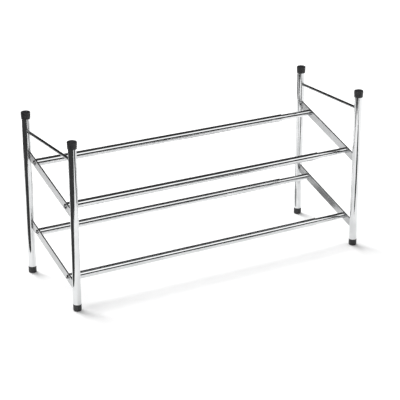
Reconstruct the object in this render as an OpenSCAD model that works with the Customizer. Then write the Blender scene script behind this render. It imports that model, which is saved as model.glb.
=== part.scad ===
// Extending two-tier shoe rack: two welded end frames joined by four telescoping shelf tubes.
// Units are millimetres. The origin is on the floor below the middle of the rack,
// +X runs from the left end frame to the right one, +Y to the rear and +Z up.

/* [Rack] */
// Height from the floor to the top of the caps
rack_height = 360; // [340:1:420]
// Distance between the front and rear post axes
frame_depth = 222; // [190:1:260]
// Distance between the left and right post axes with the rack pushed shut
closed_span = 608; // [605:1:660]
// Distance between the left and right post axes with the rack pulled out to its stops
open_span = 1142; // [900:1:1150]
// How far the rack is pulled out from shut
extension = 76; // [0:1:534]

/* [Posts, caps and feet] */
// Diameter of the post tubes
post_d = 16.8; // [14:0.2:17.4]
// Wall thickness of the post tubes
post_wall = 1; // [0.8:0.1:1.5]
// Diameter of a cap at its top edge
cap_top_d = 20.2; // [19.8:0.2:24]
// Diameter of a cap at its lower rim
cap_rim_d = 19; // [18.6:0.2:19.8]
// Height of a cap
cap_h = 15; // [12:0.5:20]
// Thickness of the closed top of a cap
cap_top_t = 2.5; // [1.5:0.1:4]
// Diameter of the visible part of a foot
foot_d = 17.4; // [17:0.1:19]
// Height of the visible part of a foot
foot_h = 14; // [10:0.5:18]
// Length of the plug that holds a foot in its post
foot_plug_len = 20; // [12:1:30]

/* [Side straps and top wires] */
// Width of a flat side strap
strap_w = 19; // [13:0.5:20]
// Thickness of a flat side strap
strap_t = 3; // [2:0.5:4]
// Height of the lower strap's centre line at the front post axis
lower_strap_front_z = 45; // [40:1:60]
// Rise of each strap from the front post axis to the rear post axis
strap_rise = 72; // [0:1:90]
// Height of the upper tier above the lower tier
tier_spacing = 155; // [130:1:160]
// Height of the top wires' centre line
top_wire_z = 319; // [300:1:330]
// Diameter of the top wires
top_wire_d = 6; // [4:0.5:8]

/* [Shelf tubes] */
// Diameter of the outer shelf tubes
outer_tube_d = 16.2; // [15.3:0.1:17]
// Wall thickness of the outer shelf tubes
outer_tube_wall = 0.8; // [0.6:0.05:1]
// Diameter of the inner shelf tubes
inner_tube_d = 13.4; // [11:0.1:13.4]
// Wall thickness of the inner shelf tubes
inner_tube_wall = 0.9; // [0.6:0.05:1.2]
// Distance from a post axis to the nearest shelf tube axis
shelf_tube_inset = 38; // [30:1:60]
// Length of the bush in the mouth of an outer tube
mouth_bush_len = 12; // [8:1:20]
// Length of a guide plug outside the inner tube
guide_head_len = 30; // [15:1:30]
// Length of a guide plug inside the inner tube
guide_spigot_len = 14; // [8:1:20]

/* [Fasteners] */
// Diameter of a screw head
screw_head_d = 11.5; // [9:0.5:13]
// Height of the straight rim of a screw head
screw_rim_h = 0.8; // [0.5:0.1:1.2]
// Height of the dome of a screw head above its rim
screw_dome_h = 2.4; // [1.8:0.1:3]
// Diameter of a screw shank
screw_shank_d = 6; // [4:0.5:6]
// Length of a screw below its head
screw_len = 12; // [8:1:12]
// Length of a threaded insert in the end of a shelf tube
insert_len = 12; // [10:1:14]

/* [Hidden] */
// Small gaps: sliding fit on each side, press fit on each side, and weld root
slide_gap = 0.05;
press_gap = 0.02;
weld_gap = 0.05;
// Gap left at each end of the tubes' travel
stop_gap = 0.5;
// Overshoot of a cutting tool past the face that it cuts
cut = 1;
// Facets that stand for a full turn, all of them taken as true curves
$fn = 96;

span = closed_span + extension;
strap_tilt = atan(strap_rise / frame_depth);
post_bore_d = post_d - 2 * post_wall;
outer_bore_d = outer_tube_d - 2 * outer_tube_wall;
inner_bore_d = inner_tube_d - 2 * inner_tube_wall;
// The outer tubes nearly reach the right straps when the rack is shut.
outer_tube_len = closed_span - strap_t - stop_gap;
// The guide plugs nearly reach the mouth bushes when the rack is fully open.
inner_tube_len = open_span - strap_t - outer_tube_len + mouth_bush_len + stop_gap;
left_tube_x = -span / 2 + strap_t / 2;
right_tube_x = span / 2 - strap_t / 2;

left = -1;
right = 1;
front = -1;
rear = 1;
lower = 0;
upper = 1;

chrome_color = "silver";
plastic_color = [0.13, 0.13, 0.14];
nylon_color = "ivory";
zinc_color = "lightgray";

// Height of a strap's centre line where it passes the depth y
function strap_z(tier, y) =
    lower_strap_front_z + tier * tier_spacing + strap_rise * (y / frame_depth + 0.5);

// Centre of a shelf tube, as seen from the side
function shelf_tube_y(row) = row * (frame_depth / 2 - shelf_tube_inset);
function shelf_tube_z(tier, row) = strap_z(tier, shelf_tube_y(row));

// Points of an arc from angle a0 to angle a1
function arc(centre, radius, a0, a1, steps = 8) =
    [for (i = [0:steps]) let (a = a0 + (a1 - a0) * i / steps) centre + radius * [cos(a), sin(a)]];

// Places its children on a post axis, at floor height
module at_post(side, row) {
    translate([side * span / 2, row * frame_depth / 2, 0]) children();
}

// Places its children on a shelf tube axis at x, with their +Z axis turned along +X
module at_shelf_tube(x, tier, row) {
    translate([x, shelf_tube_y(row), shelf_tube_z(tier, row)]) rotate([0, 90, 0]) children();
}

// Repeats its children where the four shelf tubes meet the straps of one end frame,
// with their +Z axis turned outwards
module at_tube_ends(side) {
    for (tier = [lower, upper], row = [front, rear]) {
        translate([side * (span - strap_t) / 2, shelf_tube_y(row), shelf_tube_z(tier, row)])
            rotate([0, side * 90, 0]) children();
    }
}

module tube(len, outer_d, bore_d) {
    difference() {
        cylinder(h = len, d = outer_d);
        translate([0, 0, -cut]) cylinder(h = len + 2 * cut, d = bore_d);
    }
}

module post(side, row) {
    color(chrome_color) at_post(side, row)
        translate([0, 0, foot_h])
            tube(rack_height - cap_top_t - foot_h, post_d, post_bore_d);
}

// Moulded cup that covers the top end of a post, with a rounded top edge
module cap(side, row) {
    edge_r = 1.6;
    rim_r = 0.5;
    bore_r = post_d / 2 + slide_gap;
    outline = concat(
        [[0, cap_h - cap_top_t], [bore_r, cap_h - cap_top_t], [bore_r, 0]],
        arc([cap_rim_d / 2 - rim_r, rim_r], rim_r, -90, 0),
        arc([cap_top_d / 2 - edge_r, cap_h - edge_r], edge_r, 0, 90),
        [[0, cap_h]]
    );
    color(plastic_color) at_post(side, row)
        translate([0, 0, rack_height - cap_h]) rotate_extrude() polygon(outline);
}

// Moulded foot: a short round pad below the post, with a hollow plug pressed into the tube
module foot(side, row) {
    edge_r = 1.2;
    top_r = 0.6;
    plug_r = post_bore_d / 2 - press_gap;
    hollow_r = plug_r - 2;
    plug_top = foot_h + foot_plug_len;
    outline = concat(
        [[0, 0]],
        arc([foot_d / 2 - edge_r, edge_r], edge_r, -90, 0),
        arc([foot_d / 2 - top_r, foot_h - top_r], top_r, 0, 90),
        [[plug_r, foot_h], [plug_r, plug_top - 1], [plug_r - 1, plug_top],
         [hollow_r, plug_top], [hollow_r, foot_h], [0, foot_h]]
    );
    color(plastic_color) at_post(side, row) rotate_extrude() polygon(outline);
}

// Cuts the saddle-shaped ends with which a strap or wire meets the two posts of its frame
module coped_to_posts(side) {
    difference() {
        children();
        for (row = [front, rear]) {
            at_post(side, row) cylinder(h = rack_height, d = post_d + 2 * weld_gap);
        }
    }
}

module top_wire(side) {
    color(chrome_color) coped_to_posts(side)
        translate([side * span / 2, 0, top_wire_z])
            rotate([90, 0, 0]) cylinder(h = frame_depth, d = top_wire_d, center = true);
}

// Section of a strap: a flat bar with fully rounded edges
module strap_section() {
    edge_offset = (strap_w - strap_t) / 2;
    square([strap_t, 2 * edge_offset], center = true);
    for (end = [-1, 1]) {
        translate([0, end * edge_offset]) circle(d = strap_t);
    }
}

// Sloping flat bar welded between the posts, with a hole for each shelf tube's screw
module strap(side, tier) {
    color(chrome_color) difference() {
        coped_to_posts(side)
            translate([side * span / 2, 0, strap_z(tier, 0)])
                rotate([90 + strap_tilt, 0, 0])
                    linear_extrude(frame_depth / cos(strap_tilt), center = true) strap_section();
        for (row = [front, rear]) {
            at_shelf_tube(side * span / 2, tier, row)
                cylinder(h = strap_t + 2 * cut, d = screw_shank_d + 0.4, center = true);
        }
    }
}

module outer_tube(tier, row) {
    color(chrome_color) at_shelf_tube(left_tube_x, tier, row)
        tube(outer_tube_len, outer_tube_d, outer_bore_d);
}

module inner_tube(tier, row) {
    color(chrome_color) at_shelf_tube(right_tube_x - inner_tube_len, tier, row)
        tube(inner_tube_len, inner_tube_d, inner_bore_d);
}

// Ring in the mouth of an outer tube that the inner tube slides through
module mouth_bush(tier, row) {
    color(plastic_color) at_shelf_tube(left_tube_x + outer_tube_len - mouth_bush_len, tier, row)
        tube(mouth_bush_len, outer_bore_d - 2 * press_gap, inner_tube_d + 2 * slide_gap);
}

// Plug in the hidden end of an inner tube, with a long head that slides in the outer tube
module guide_plug(tier, row) {
    head_d = outer_bore_d - 2 * slide_gap;
    spigot_d = inner_bore_d - 2 * press_gap;
    color(nylon_color) at_shelf_tube(right_tube_x - inner_tube_len - guide_head_len, tier, row)
        difference() {
            union() {
                cylinder(h = guide_head_len, d = head_d);
                cylinder(h = guide_head_len + guide_spigot_len, d = spigot_d);
            }
            translate([0, 0, -cut])
                cylinder(h = guide_head_len + guide_spigot_len + 2 * cut, d = spigot_d - 3);
        }
}

// Threaded inserts pressed into the shelf tube ends at one end frame
module tube_inserts(side, bore_d) {
    color(zinc_color) at_tube_ends(side)
        translate([0, 0, -insert_len])
            tube(insert_len, bore_d - 2 * press_gap, screw_shank_d + 2 * press_gap);
}

// Domed cross-recess screw, seated on z = 0 with its shank below
module screw() {
    recess_len = 0.5 * screw_head_d;
    recess_w = 1.3;
    recess_depth = 1.8;
    head_h = screw_rim_h + screw_dome_h;
    dome_r = (pow(screw_head_d / 2, 2) + pow(screw_dome_h, 2)) / (2 * screw_dome_h);
    translate([0, 0, -screw_len]) cylinder(h = screw_len + screw_rim_h, d = screw_shank_d);
    difference() {
        intersection() {
            translate([0, 0, head_h - dome_r]) sphere(r = dome_r);
            cylinder(h = head_h, d = screw_head_d);
        }
        for (turn = [0, 90]) {
            rotate([0, 0, turn])
                translate([0, 0, head_h])
                    cube([recess_len, recess_w, 2 * recess_depth], center = true);
        }
    }
}

// Screws that hold the shelf tubes to the straps of one end frame
module screws(side) {
    color(chrome_color) at_tube_ends(side) translate([0, 0, strap_t]) screw();
}

post(left, front);  // left_front_post
post(left, rear);  // left_rear_post
post(right, front);  // right_front_post
post(right, rear);  // right_rear_post

cap(left, front);  // left_front_cap
cap(left, rear);  // left_rear_cap
cap(right, front);  // right_front_cap
cap(right, rear);  // right_rear_cap

foot(left, front);  // left_front_foot
foot(left, rear);  // left_rear_foot
foot(right, front);  // right_front_foot
foot(right, rear);  // right_rear_foot

top_wire(left);  // left_top_wire
top_wire(right);  // right_top_wire

strap(left, upper);  // left_upper_strap
strap(left, lower);  // left_lower_strap
strap(right, upper);  // right_upper_strap
strap(right, lower);  // right_lower_strap

outer_tube(upper, front);  // upper_front_outer_tube
outer_tube(upper, rear);  // upper_rear_outer_tube
outer_tube(lower, front);  // lower_front_outer_tube
outer_tube(lower, rear);  // lower_rear_outer_tube

inner_tube(upper, front);  // upper_front_inner_tube
inner_tube(upper, rear);  // upper_rear_inner_tube
inner_tube(lower, front);  // lower_front_inner_tube
inner_tube(lower, rear);  // lower_rear_inner_tube

mouth_bush(upper, front);  // upper_front_mouth_bush
mouth_bush(upper, rear);  // upper_rear_mouth_bush
mouth_bush(lower, front);  // lower_front_mouth_bush
mouth_bush(lower, rear);  // lower_rear_mouth_bush

guide_plug(upper, front);  // upper_front_guide_plug
guide_plug(upper, rear);  // upper_rear_guide_plug
guide_plug(lower, front);  // lower_front_guide_plug
guide_plug(lower, rear);  // lower_rear_guide_plug

tube_inserts(left, outer_bore_d);  // outer_tube_inserts
tube_inserts(right, inner_bore_d);  // inner_tube_inserts

screws(left);  // left_screws
screws(right);  // right_screws
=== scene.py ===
"""Looks of the extending shoe rack: materials, weld beads, rolled tube mouths, studio and camera.

Everything is in metres in the part's own frame: +X along the shelf tubes, +Y to the rear, +Z up.
"""

import math

import bpy
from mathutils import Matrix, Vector, noise


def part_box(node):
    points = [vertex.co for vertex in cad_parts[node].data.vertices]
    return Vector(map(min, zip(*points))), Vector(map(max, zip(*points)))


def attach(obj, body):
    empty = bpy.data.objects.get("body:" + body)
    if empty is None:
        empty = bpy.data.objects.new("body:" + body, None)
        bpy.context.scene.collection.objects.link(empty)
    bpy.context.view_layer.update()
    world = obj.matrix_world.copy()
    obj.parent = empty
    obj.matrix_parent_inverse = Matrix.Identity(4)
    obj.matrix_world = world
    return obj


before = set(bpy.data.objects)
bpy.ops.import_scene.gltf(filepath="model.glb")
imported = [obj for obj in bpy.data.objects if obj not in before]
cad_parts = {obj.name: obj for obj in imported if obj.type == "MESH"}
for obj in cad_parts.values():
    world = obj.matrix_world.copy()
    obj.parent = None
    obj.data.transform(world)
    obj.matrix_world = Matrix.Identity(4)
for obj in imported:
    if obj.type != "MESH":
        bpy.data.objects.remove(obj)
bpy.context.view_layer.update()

SIDES = ("left", "right")
ROWS = ("front", "rear")
TIERS = ("lower", "upper")
MM = 0.001

# Camera: where it stands, how far it is turned from +Y towards +X, and how far it looks down
CAMERA_PLACE = Vector((-1.443, -2.496, 1.245))
CAMERA_YAW = math.radians(30.2)
CAMERA_PITCH = math.radians(21.05)
CAMERA_LENS_MM = 128.3


# ---------------------------------------------------------------------------
# Places taken from the frame
# ---------------------------------------------------------------------------

def middle(node):
    """Centre of a CAD node's box at rest."""
    low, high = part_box(node)
    return (Vector(low) + Vector(high)) / 2


def size(node):
    """Edge lengths of a CAD node's box at rest."""
    low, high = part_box(node)
    return Vector(high) - Vector(low)


def strap_slope(tier):
    """Rise per unit of depth of a tier's straps, which pass through both of its shelf tubes."""
    run = middle(f"{tier}_rear_outer_tube") - middle(f"{tier}_front_outer_tube")
    return run.z / run.y


def strap_width(side, tier):
    """Width of a strap, measured across its slope."""
    box = size(f"{side}_{tier}_strap")
    slope = strap_slope(tier)
    return (box.z - box.y * slope) * math.cos(math.atan(slope))


# ---------------------------------------------------------------------------
# Camera
# ---------------------------------------------------------------------------

def make_camera():
    data = bpy.data.cameras.new("camera")
    data.lens = CAMERA_LENS_MM
    data.sensor_width = 36.0
    data.clip_start = 0.05
    data.clip_end = 50.0
    camera = bpy.data.objects.new("camera", data)
    camera.location = CAMERA_PLACE
    camera.rotation_euler = (math.pi / 2 - CAMERA_PITCH, 0.0, -CAMERA_YAW)
    bpy.context.scene.collection.objects.link(camera)
    bpy.context.scene.camera = camera


# ---------------------------------------------------------------------------
# Materials
# ---------------------------------------------------------------------------

class Shader:
    """A material under construction, with short calls for the nodes that the materials share."""

    def __init__(self, name):
        self.material = bpy.data.materials.new(name)
        self.material.use_nodes = True
        self.tree = self.material.node_tree
        self.surface = self.tree.nodes["Principled BSDF"]

    def node(self, kind, **settings):
        made = self.tree.nodes.new(kind)
        for key, value in settings.items():
            setattr(made, key, value)
        return made

    def link(self, output, target):
        self.tree.links.new(output, target)

    def place(self, scale=(1.0, 1.0, 1.0)):
        """Position on the part in metres, stretched by scale."""
        where = self.node("ShaderNodeTexCoord")
        stretch = self.node("ShaderNodeMapping")
        stretch.inputs["Scale"].default_value = scale
        self.link(where.outputs["Object"], stretch.inputs["Vector"])
        return stretch.outputs["Vector"]

    def noise(self, place, scale, detail=3.0, roughness=0.5):
        made = self.node("ShaderNodeTexNoise")
        made.inputs["Scale"].default_value = scale
        made.inputs["Detail"].default_value = detail
        made.inputs["Roughness"].default_value = roughness
        self.link(place, made.inputs["Vector"])
        return made.outputs["Fac"]

    def spread(self, value, low, high, to_low, to_high):
        """Maps a value from low..high to to_low..to_high, held at the ends."""
        made = self.node("ShaderNodeMapRange", interpolation_type="SMOOTHSTEP")
        made.inputs["From Min"].default_value = low
        made.inputs["From Max"].default_value = high
        made.inputs["To Min"].default_value = to_low
        made.inputs["To Max"].default_value = to_high
        self.link(value, made.inputs["Value"])
        return made.outputs["Result"]

    def blend(self, factor, first, second):
        """Colour between first and second."""
        made = self.node("ShaderNodeMix", data_type="RGBA")
        made.inputs["A"].default_value = (*first, 1.0)
        made.inputs["B"].default_value = (*second, 1.0)
        self.link(factor, made.inputs["Factor"])
        return made.outputs["Result"]

    def sum(self, first, second):
        made = self.node("ShaderNodeMath", operation="ADD")
        self.link(first, made.inputs[0])
        self.link(second, made.inputs[1])
        return made.outputs["Value"]

    def bump(self, height, distance, strength):
        made = self.node("ShaderNodeBump")
        made.inputs["Distance"].default_value = distance
        made.inputs["Strength"].default_value = strength
        self.link(height, made.inputs["Height"])
        self.link(made.outputs["Normal"], self.surface.inputs["Normal"])


def chrome(name, grain, tint_low, tint_high, rough_low, rough_high):
    """Chrome plate with cloudy gloss and faint drawing marks along the metal.

    grain stretches the marks: the axis along the metal gets the smallest number.
    """
    shader = Shader(name)
    shader.surface.inputs["Metallic"].default_value = 1.0
    cloud = shader.noise(shader.place(), 28.0, detail=4.0)
    marks = shader.noise(shader.place(grain), 90.0, detail=5.0, roughness=0.65)
    tint = shader.blend(shader.spread(cloud, 0.3, 0.7, 0.0, 1.0), tint_low, tint_high)
    shader.link(tint, shader.surface.inputs["Base Color"])
    gloss = shader.sum(
        shader.spread(cloud, 0.35, 0.75, rough_low, rough_high),
        shader.spread(marks, 0.55, 0.8, 0.0, 0.07),
    )
    shader.link(gloss, shader.surface.inputs["Roughness"])
    shader.bump(marks, 0.02 * MM, 0.35)
    return shader.material


def moulded_plastic(name, dark, light, rough_low, rough_high):
    """Moulded plastic with a fine spark-eroded texture and slight dusty patches."""
    shader = Shader(name)
    place = shader.place()
    patch = shader.noise(place, 120.0, detail=3.0)
    grain = shader.noise(place, 2600.0, detail=2.0)
    tint = shader.blend(shader.spread(patch, 0.35, 0.75, 0.0, 1.0), dark, light)
    shader.link(tint, shader.surface.inputs["Base Color"])
    gloss = shader.sum(
        shader.spread(patch, 0.3, 0.7, rough_low, rough_high),
        shader.spread(grain, 0.4, 0.7, 0.0, 0.08),
    )
    shader.link(gloss, shader.surface.inputs["Roughness"])
    shader.bump(grain, 0.06 * MM, 0.5)
    return shader.material


def make_materials():
    """One material for each kind of surface, with its marks running along the metal.

    Real chrome plate is equally bright on every piece. The straps and wires are toned darker
    here as painted shade, for the way they look in this studio; the weld beads share the straps' tint.
    """
    # Painted shade: the strap and wire tints below are darker copies of the bright chrome tint, and the
    # welds take the strap's.
    bright = ((0.62, 0.63, 0.635), (0.70, 0.705, 0.71))
    shaded_satin = ((0.41, 0.415, 0.42), (0.50, 0.505, 0.51))
    shaded_wire_tint = ((0.24, 0.245, 0.25), (0.32, 0.325, 0.33))
    zinc = ((0.5, 0.51, 0.52), (0.64, 0.65, 0.66))
    return {
        "shelf_tube": chrome("chromed_shelf_tube", (0.03, 1.0, 1.0), *bright, 0.05, 0.11),
        "post": chrome("chromed_post", (1.0, 1.0, 0.03), *bright, 0.05, 0.11),
        "strap": chrome("chromed_strap", (1.0, 0.04, 0.12), *shaded_satin, 0.18, 0.27),
        "wire": chrome("chromed_wire", (1.0, 0.03, 1.0), *shaded_wire_tint, 0.08, 0.14),
        "screw": chrome("chromed_screw", (1.0, 1.0, 1.0), *bright, 0.16, 0.24),
        "weld": chrome("chromed_weld", (1.0, 1.0, 1.0), *shaded_satin, 0.14, 0.26),
        "insert": chrome("zinc_plated_steel", (0.2, 1.0, 1.0), *zinc, 0.3, 0.45),
        "black": moulded_plastic("black_plastic", (0.014, 0.014, 0.015), (0.026, 0.026, 0.028), 0.42, 0.58),
        "black_nylon": moulded_plastic("black_nylon", (0.016, 0.016, 0.017), (0.03, 0.03, 0.032), 0.35, 0.5),
        "natural_nylon": moulded_plastic("natural_nylon", (0.66, 0.63, 0.54), (0.78, 0.76, 0.68), 0.35, 0.5),
    }


# Which material each CAD node takes, by the end of its name
NODE_LOOKS = {
    "_post": "post",
    "_cap": "black",
    "_foot": "black",
    "_top_wire": "wire",
    "_strap": "strap",
    "_outer_tube": "shelf_tube",
    "_inner_tube": "shelf_tube",
    "_mouth_bush": "black_nylon",
    "_guide_plug": "natural_nylon",
    "_inserts": "insert",
    "_screws": "screw",
}


def dress_frame(materials):
    for name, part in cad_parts.items():
        look = next(look for ending, look in NODE_LOOKS.items() if name.endswith(ending))
        for slot in part.material_slots:
            slot.material = materials[look]


# ---------------------------------------------------------------------------
# Added pieces
# ---------------------------------------------------------------------------

def add_mesh(name, vertices, faces, material, body):
    mesh = bpy.data.meshes.new(name)
    mesh.from_pydata([tuple(v) for v in vertices], [], faces)
    mesh.validate()
    mesh.shade_smooth()
    mesh.materials.append(material)
    piece = bpy.data.objects.new(name, mesh)
    bpy.context.scene.collection.objects.link(piece)
    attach(piece, body)
    return piece


def closed_bead(path, radius, sides=12, ripple=0.0, seed=0.0):
    """Vertices and faces of a round bead along a closed path, with weld ripples if ripple is above 0."""
    vertices = []
    count = len(path)
    hub = sum(path, Vector()) / count
    for i, point in enumerate(path):
        along = (path[(i + 1) % count] - path[i - 1]).normalized()
        outward = point - hub
        outward = (outward - along * outward.dot(along)).normalized()
        across = along.cross(outward)
        wave = math.sin(i * math.tau * 26 / count)
        uneven = noise.noise(point * 900.0 + Vector((seed, 0.0, 0.0)))
        swell = radius * (1.0 + ripple * (0.5 * wave + 1.3 * uneven))
        for j in range(sides):
            turn = j * math.tau / sides
            vertices.append(point + (outward * math.cos(turn) + across * math.sin(turn)) * swell)
    faces = []
    for i in range(count):
        after = (i + 1) % count
        for j in range(sides):
            beside = (j + 1) % sides
            faces.append((i * sides + j, after * sides + j, after * sides + beside, i * sides + beside))
    return vertices, faces


def strap_outline(width, thickness, count=128):
    """Points round a strap's section, as (across, up) pairs: two straight faces and two round edges."""
    straight = width - thickness
    arc = math.pi * thickness / 2
    total = 2 * (straight + arc)
    points = []
    for i in range(count):
        run = i * total / count
        if run < straight:
            points.append((thickness / 2, run - straight / 2))
        elif run < straight + arc:
            turn = (run - straight) / arc * math.pi
            points.append((math.cos(turn) * thickness / 2, straight / 2 + math.sin(turn) * thickness / 2))
        elif run < 2 * straight + arc:
            points.append((-thickness / 2, straight / 2 - (run - straight - arc)))
        else:
            turn = (run - 2 * straight - arc) / arc * math.pi
            points.append((-math.cos(turn) * thickness / 2, -straight / 2 - math.sin(turn) * thickness / 2))
    return points


def weld_path(outline, post, row, centre_z, slope):
    """Where a bar's outline meets a post's round wall, as seen from the other post of its frame."""
    axis = middle(post)
    radius = size(post).x / 2
    inward = 1.0 if row == "front" else -1.0
    tilt = math.atan(slope)
    path = []
    for across, up in outline:
        y = axis.y + inward * math.sqrt(radius ** 2 - across ** 2)
        along = (y - axis.y + up * math.sin(tilt)) / math.cos(tilt)
        z = centre_z + up * math.cos(tilt) + along * math.sin(tilt)
        path.append(Vector((axis.x + across, y, z)))
    return path


def add_welds(material):
    """A chromed weld bead round each end of every strap and top wire."""
    bead_radius = 0.75 * MM
    for side in SIDES:
        body = f"{side}_frame"
        wire = f"{side}_top_wire"
        wire_radius = size(wire).z / 2
        wire_outline = [
            (wire_radius * math.cos(i * math.tau / 64), wire_radius * math.sin(i * math.tau / 64))
            for i in range(64)
        ]
        strap_thickness = size(f"{side}_lower_strap").x
        for row in ROWS:
            post = f"{side}_{row}_post"
            path = weld_path(wire_outline, post, row, middle(wire).z, 0.0)
            vertices, faces = closed_bead(path, bead_radius, ripple=0.25, seed=len(path))
            add_mesh(f"{side}_{row}_wire_weld", vertices, faces, material, body)
            for tier in TIERS:
                slope = strap_slope(tier)
                start_z = middle(f"{side}_{tier}_strap").z + slope * middle(post).y
                outline = strap_outline(strap_width(side, tier), strap_thickness)
                path = weld_path(outline, post, row, start_z, slope)
                vertices, faces = closed_bead(path, bead_radius, ripple=0.3, seed=start_z * 100)
                add_mesh(f"{side}_{row}_{tier}_weld", vertices, faces, material, body)


def add_tube_lips(material):
    """The rolled rim at the mouth of each outer tube."""
    lip_radius = 0.42 * MM
    for tier in TIERS:
        for row in ROWS:
            tube = f"{tier}_{row}_outer_tube"
            mouth_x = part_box(tube)[1][0]
            centre = middle(tube)
            ring_radius = size(tube).z / 2 - lip_radius * 0.8
            path = [
                Vector((
                    mouth_x,
                    centre.y + ring_radius * math.cos(i * math.tau / 96),
                    centre.z + ring_radius * math.sin(i * math.tau / 96),
                ))
                for i in range(96)
            ]
            vertices, faces = closed_bead(path, lip_radius)
            add_mesh(f"{tier}_{row}_tube_lip", vertices, faces, material, "left_frame")


# ---------------------------------------------------------------------------
# Studio: floor, world and lights
# ---------------------------------------------------------------------------

def add_sheet(name, corners, material):
    """A flat stage piece through the given corners."""
    mesh = bpy.data.meshes.new(name)
    mesh.from_pydata(corners, [], [tuple(range(len(corners)))])
    mesh.materials.append(material)
    sheet = bpy.data.objects.new(name, mesh)
    bpy.context.scene.collection.objects.link(sheet)
    return sheet


def matt_paper(name, dark, light):
    """Matt studio paper with a faint mottle."""
    shader = Shader(name)
    shader.surface.inputs["Specular IOR Level"].default_value = 0.0
    mottle = shader.noise(shader.place(), 9.0, detail=3.0)
    tint = shader.blend(shader.spread(mottle, 0.3, 0.7, 0.0, 1.0), dark, light)
    shader.link(tint, shader.surface.inputs["Base Color"])
    shader.surface.inputs["Roughness"].default_value = 0.95
    return shader.material


FLOOR_HALF = 6.0
FLOOR_DROP = 0.4 * MM

# Cards lying on the floor that only mirror reflections show, because the camera is kept from
# seeing them: painted reflections. They put the dark lines into the chrome, which looks pale over a bare
# floor.
# Corner points in metres from the rack's middle.
DARK_CARDS = {
    "left_card": (
        (-0.42, 0.0), (-0.56, 0.28), (-0.70, 0.40), (-0.77, 0.76), (-0.63, 0.84), (-0.46, 0.66),
        (-0.06, 0.98), (0.55, 1.10), (0.55, 1.60), (-2.4, 2.6), (-2.4, -2.6), (-0.23, -2.6),
        (-0.23, -1.0), (-0.43, -0.72), (-0.68, -0.47),
    ),
    "front_card": (
        (0.25, -0.28), (0.54, -0.62), (0.48, -0.95), (0.16, -1.05), (0.16, -1.30), (2.2, -1.30),
        (4.0, -5.0), (0.00, -5.0), (0.02, -0.93), (0.10, -0.60), (0.20, -0.32),
    ),
}
# Painted shadow: grey cards where shade lies on the floor under and behind the right frame, seen only in the
# chrome.
SHADOW_CARDS = {
    "right_card": ((0.29, 0.10), (0.27, 0.26), (0.13, 0.24), (0.17, 0.08)),
    "rear_card": (
        (0.27, 0.27), (0.19, 0.56), (0.12, 0.88), (0.06, 1.15), (0.00, 1.15), (0.05, 0.86),
        (0.13, 0.56), (0.21, 0.27),
    ),
}
# Painted shadow too: a paler card where that shade on the floor thins out, seen only in the chrome.
PALE_SHADOW_CARDS = {
    "corner_card": ((0.20, 0.27), (0.17, 0.38), (0.10, 0.36), (0.13, 0.27)),
}


def add_floor_and_cards():
    edge = FLOOR_HALF
    corners = [(-edge, -edge, 0), (edge, -edge, 0), (edge, edge, 0), (-edge, edge, 0)]
    floor = add_sheet("floor", corners, matt_paper("white_paper", (0.89, 0.89, 0.89), (0.91, 0.91, 0.91)))
    floor.location.z = -FLOOR_DROP
    looks = (
        (DARK_CARDS, matt_paper("dark_card", (0.03, 0.03, 0.03), (0.05, 0.05, 0.05))),
        (SHADOW_CARDS, matt_paper("shadow_card", (0.20, 0.20, 0.20), (0.26, 0.26, 0.26))),
        (PALE_SHADOW_CARDS, matt_paper("pale_shadow_card", (0.38, 0.38, 0.38), (0.46, 0.46, 0.46))),
    )
    for cards, material in looks:
        for name, outline in cards.items():
            card = add_sheet(name, [(x, y, 0.0) for x, y in outline], material)
            card.location.z = -FLOOR_DROP / 2
            card.visible_camera = False
            card.visible_diffuse = False
            card.visible_shadow = False


# Studio brightness round the rack's long axis, from the rear horizon (0) over the top (90)
# to the front horizon (180): dark rear and ceiling, long softbox, dark room, pale floor.
STUDIO_BANDS = (
    (0, 0.03), (110, 0.03), (116, 1.0), (143, 1.0),
    (149, 0.03), (182, 0.03), (186, 0.60), (355, 0.60),
)
STUDIO_STRENGTH = 1.6
FILL_STRENGTH = 0.62


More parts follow.
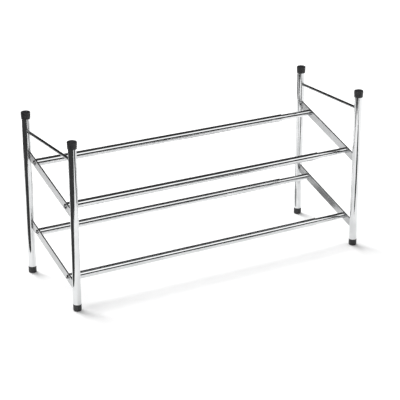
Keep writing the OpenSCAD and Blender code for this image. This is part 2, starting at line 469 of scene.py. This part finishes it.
def make_world():
    """White to the camera, even fill for shading, and banded for mirror reflections."""
    world = bpy.data.worlds.new("studio")
    world.use_nodes = True
    bpy.context.scene.world = world
    tree = world.node_tree
    tree.nodes.clear()

    def add(kind, **settings):
        made = tree.nodes.new(kind)
        for key, value in settings.items():
            setattr(made, key, value)
        return made

    direction = add("ShaderNodeTexCoord")
    split = add("ShaderNodeSeparateXYZ")
    tree.links.new(direction.outputs["Generated"], split.inputs["Vector"])
    angle = add("ShaderNodeMath", operation="ARCTAN2")
    tree.links.new(split.outputs["Z"], angle.inputs[0])
    tree.links.new(split.outputs["Y"], angle.inputs[1])
    turn = add("ShaderNodeMath", operation="DIVIDE")
    tree.links.new(angle.outputs["Value"], turn.inputs[0])
    turn.inputs[1].default_value = math.tau
    share = add("ShaderNodeMath", operation="WRAP")
    tree.links.new(turn.outputs["Value"], share.inputs[0])
    share.inputs[1].default_value = 1.0
    share.inputs[2].default_value = 0.0
    bands = add("ShaderNodeValToRGB")
    stops = bands.color_ramp
    stops.interpolation = "EASE"
    while len(stops.elements) > 1:
        stops.elements.remove(stops.elements[-1])
    for i, (degrees, value) in enumerate(STUDIO_BANDS):
        stop = stops.elements[0] if i == 0 else stops.elements.new(degrees / 360)
        stop.position = degrees / 360
        stop.color = (value, value, value, 1.0)
    tree.links.new(share.outputs["Value"], bands.inputs["Fac"])

    mirror = add("ShaderNodeBackground")
    mirror.inputs["Strength"].default_value = STUDIO_STRENGTH
    tree.links.new(bands.outputs["Color"], mirror.inputs["Color"])
    fill = add("ShaderNodeBackground")
    fill.inputs["Color"].default_value = (1.0, 1.0, 1.0, 1.0)
    fill.inputs["Strength"].default_value = FILL_STRENGTH
    white = add("ShaderNodeBackground")
    white.inputs["Color"].default_value = (1.0, 1.0, 1.0, 1.0)
    white.inputs["Strength"].default_value = 1.0

    rays = add("ShaderNodeLightPath")
    lit = add("ShaderNodeMixShader")
    tree.links.new(rays.outputs["Is Glossy Ray"], lit.inputs["Fac"])
    tree.links.new(fill.outputs["Background"], lit.inputs[1])
    tree.links.new(mirror.outputs["Background"], lit.inputs[2])
    shown = add("ShaderNodeMixShader")
    tree.links.new(rays.outputs["Is Camera Ray"], shown.inputs["Fac"])
    tree.links.new(lit.outputs["Shader"], shown.inputs[1])
    tree.links.new(white.outputs["Background"], shown.inputs[2])
    output = add("ShaderNodeOutputWorld")
    tree.links.new(shown.outputs["Shader"], output.inputs["Surface"])


def add_key_light(name, towards, spread, strength):
    """A broad, even light from behind and above, hidden from mirror reflections."""
    data = bpy.data.lights.new(name, "SUN")
    data.angle = spread
    data.energy = strength
    light = bpy.data.objects.new(name, data)
    light.rotation_euler = towards.to_track_quat("-Z", "Y").to_euler()
    light.visible_glossy = False
    bpy.context.scene.collection.objects.link(light)


# ---------------------------------------------------------------------------
# Build
# ---------------------------------------------------------------------------

make_camera()
materials = make_materials()
dress_frame(materials)
add_welds(materials["weld"])
add_tube_lips(materials["shelf_tube"])
add_floor_and_cards()
make_world()
add_key_light("key_light", Vector((0.68, -3.9, -4.1)), math.radians(40), 3.6)
bpy.context.scene.view_settings.view_transform = "Standard"
